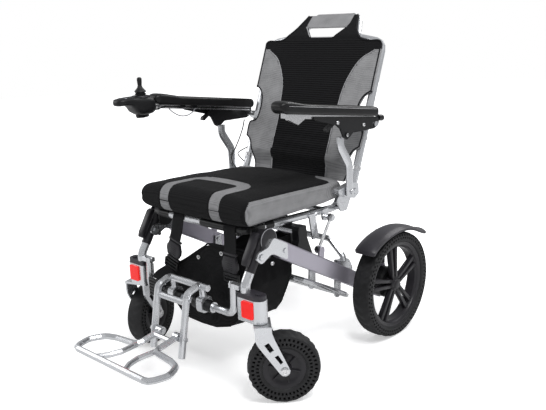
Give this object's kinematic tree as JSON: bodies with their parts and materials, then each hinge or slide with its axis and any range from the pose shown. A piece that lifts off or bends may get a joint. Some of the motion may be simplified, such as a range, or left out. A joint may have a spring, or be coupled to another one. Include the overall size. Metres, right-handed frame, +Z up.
{
  "type": "folding power wheelchair",
  "caption": "Folding power wheelchair with sling back, cushioned seat, side armrests, joystick, flip-up footplate, front casters, rear drive wheels and an open bag under the seat.",
  "frame": {"origin": "middle of the wheelchair's footprint box on the floor; the chair's own mid-plane is the plane x = -0.025, because the left caster is turned outward", "axes": "+X to the left side of a person sitting in it, -Y forward over the footplate, +Z up"},
  "size_m": [0.6695, 0.9935, 0.9455],
  "materials": {
    "painted_frame": "satin silver paint",
    "bare_steel": "plain",
    "black_plastic": "fine grain",
    "dark_plastic": "half gloss",
    "grey_plastic": "smooth",
    "red_reflector": "clear prismatic",
    "tyre_rubber": "matte, perforated solid tyre",
    "soft_rubber": "matte",
    "black_fabric": "woven, black with grey panels"
  },
  "bodies": {
    "chassis": {"side_beam_l": "painted_frame", "side_beam_r": "painted_frame", "beam_hinge_l": "painted_frame", "beam_hinge_r": "painted_frame", "drive_motor_l": "black_plastic", "drive_motor_r": "black_plastic", "fender_l": "dark_plastic", "fender_r": "dark_plastic", "seat_support_l": "painted_frame", "seat_support_r": "painted_frame", "rear_hoop": "painted_frame", "lower_carrier": "painted_frame", "storage_bag": "black_fabric", "battery_pack": "dark_plastic"},
    "drive_wheel_l": {"drive_tyre_l": "tyre_rubber", "drive_rim_l": "black_plastic"},
    "drive_wheel_r": {"drive_tyre_r": "tyre_rubber", "drive_rim_r": "black_plastic"},
    "front_frame": {"front_leg_l": "painted_frame", "front_leg_r": "painted_frame", "caster_housing_l": "painted_frame", "caster_housing_r": "painted_frame", "housing_cap_l": "dark_plastic", "housing_cap_r": "dark_plastic", "reflector_l": "red_reflector", "reflector_r": "red_reflector", "front_cross_tube": "painted_frame", "footrest_frame": "painted_frame"},
    "footplate": {"footplate": "painted_frame"},
    "swivel_l": {"caster_fork_l": "painted_frame"},
    "swivel_r": {"caster_fork_r": "painted_frame"},
    "caster_wheel_l": {"caster_rim_l": "black_plastic", "caster_tyre_l": "tyre_rubber"},
    "caster_wheel_r": {"caster_rim_r": "black_plastic", "caster_tyre_r": "tyre_rubber"},
    "seat": {"seat_frame": "painted_frame", "seat_cushion": "black_fabric", "bag_straps": "black_fabric"},
    "link_l": {"link_rod_l": "bare_steel"},
    "link_r": {"link_rod_r": "bare_steel"},
    "back": {"back_frame": "painted_frame", "back_cover": "black_fabric", "arm_post_l": "painted_frame", "arm_post_r": "painted_frame"},
    "arm_l": {"arm_rail_l": "bare_steel", "arm_bracket_l": "black_plastic", "arm_pad_l": "soft_rubber"},
    "arm_r": {"arm_rail_r": "bare_steel", "arm_bracket_r": "black_plastic", "arm_pad_r": "soft_rubber", "joystick_housing": "dark_plastic", "controller_cable": "black_plastic"},
    "lever_l": {"arm_lever_l": "black_plastic"},
    "lever_r": {"arm_lever_r": "black_plastic"},
    "knob": {"lock_knob": "black_plastic"},
    "gimbal": {"joystick_gimbal": "bare_steel"},
    "stick": {"joystick_stick": "black_plastic", "joystick_boot": "soft_rubber"},
    "power_key": {"power_button": "grey_plastic"},
    "speed_key": {"speed_button": "grey_plastic"}
  },
  "joints": [
    {"name": "drive_spin_l", "type": "hinge", "parent": "chassis", "child": "drive_wheel_l", "pos_m": [0.245, 0.337, 0.16], "axis": [1, 0, 0], "continuous": true},
    {"name": "drive_spin_r", "type": "hinge", "parent": "chassis", "child": "drive_wheel_r", "pos_m": [-0.295, 0.337, 0.16], "axis": [1, 0, 0], "continuous": true},
    {"name": "frame_fold", "type": "hinge", "parent": "chassis", "child": "front_frame", "pos_m": [-0.025, -0.172, 0.369], "axis": [1, 0, 0], "range_deg": [0, 27]},
    {"name": "seat_fold", "type": "hinge", "parent": "front_frame", "child": "seat", "pos_m": [-0.025, -0.135, 0.412], "axis": [1, 0, 0], "range_deg": [-27, 0]},
    {"name": "link_fold_l", "type": "hinge", "parent": "chassis", "child": "link_l", "pos_m": [0.183, 0.078, 0.32], "axis": [1, 0, 0], "range_deg": [0, 16]},
    {"name": "link_fold_r", "type": "hinge", "parent": "chassis", "child": "link_r", "pos_m": [-0.233, 0.078, 0.32], "axis": [1, 0, 0], "range_deg": [0, 16]},
    {"name": "caster_swivel_l", "type": "hinge", "parent": "front_frame", "child": "swivel_l", "pos_m": [0.223, -0.2065, 0.2125], "axis": [0, 0, 1], "continuous": true},
    {"name": "caster_swivel_r", "type": "hinge", "parent": "front_frame", "child": "swivel_r", "pos_m": [-0.273, -0.2065, 0.2125], "axis": [0, 0, 1], "continuous": true},
    {"name": "caster_spin_l", "type": "hinge", "parent": "swivel_l", "child": "caster_wheel_l", "pos_m": [0.2601, -0.16671, 0.093], "axis": [-0.7314, 0.682, 0], "continuous": true},
    {"name": "caster_spin_r", "type": "hinge", "parent": "swivel_r", "child": "caster_wheel_r", "pos_m": [-0.28891, -0.15448, 0.093], "axis": [-0.9563, -0.2924, 0], "continuous": true},
    {"name": "footplate_flip", "type": "hinge", "parent": "front_frame", "child": "footplate", "pos_m": [-0.025, -0.29936, 0.148], "axis": [-1, 0, 0], "range_deg": [0, 90]},
    {"name": "back_fold", "type": "hinge", "parent": "seat", "child": "back", "pos_m": [-0.025, 0.221, 0.46], "axis": [1, 0, 0], "range_deg": [0, 72]},
    {"name": "arm_fold_l", "type": "hinge", "parent": "back", "child": "arm_l", "pos_m": [0.214, 0.281, 0.645], "axis": [1, 0, 0], "range_deg": [-72, 0]},
    {"name": "arm_fold_r", "type": "hinge", "parent": "back", "child": "arm_r", "pos_m": [-0.264, 0.281, 0.645], "axis": [1, 0, 0], "range_deg": [-72, 0]},
    {"name": "arm_lever_l", "type": "hinge", "parent": "arm_l", "child": "lever_l", "pos_m": [0.214, 0.107, 0.6705], "axis": [-1, 0, 0], "range_deg": [0, 14], "stiffness_Nm_per_rad": 0.6},
    {"name": "arm_lever_r", "type": "hinge", "parent": "arm_r", "child": "lever_r", "pos_m": [-0.264, 0.107, 0.6705], "axis": [-1, 0, 0], "range_deg": [0, 14], "stiffness_Nm_per_rad": 0.6},
    {"name": "lock_knob_pull", "type": "slide", "parent": "arm_l", "child": "knob", "axis": [0, 0.9918, -0.1275], "range_m": [0, 0.008], "stiffness_N_per_m": 300},
    {"name": "stick_fore_aft", "type": "hinge", "parent": "arm_r", "child": "gimbal", "pos_m": [-0.264, -0.149, 0.7305], "axis": [1, 0, 0], "range_deg": [-15, 15], "stiffness_Nm_per_rad": 0.3},
    {"name": "stick_left_right", "type": "hinge", "parent": "gimbal", "child": "stick", "pos_m": [-0.264, -0.149, 0.7305], "axis": [0, 1, 0], "range_deg": [-15, 15], "stiffness_Nm_per_rad": 0.3},
    {"name": "power_press", "type": "slide", "parent": "arm_r", "child": "power_key", "axis": [0, 0, -1], "range_m": [0, 0.0015], "stiffness_N_per_m": 400},
    {"name": "speed_press", "type": "slide", "parent": "arm_r", "child": "speed_key", "axis": [0, 0, -1], "range_m": [0, 0.0015], "stiffness_N_per_m": 400}
  ],
  "couplings": [
    {"joint": "seat_fold", "follows": "frame_fold", "ratio": -0.988},
    {"joint": "link_fold_l", "follows": "frame_fold", "ratio": 0.59},
    {"joint": "link_fold_r", "follows": "frame_fold", "ratio": 0.59},
    {"joint": "arm_fold_l", "follows": "back_fold", "ratio": -1},
    {"joint": "arm_fold_r", "follows": "back_fold", "ratio": -1}
  ]
}
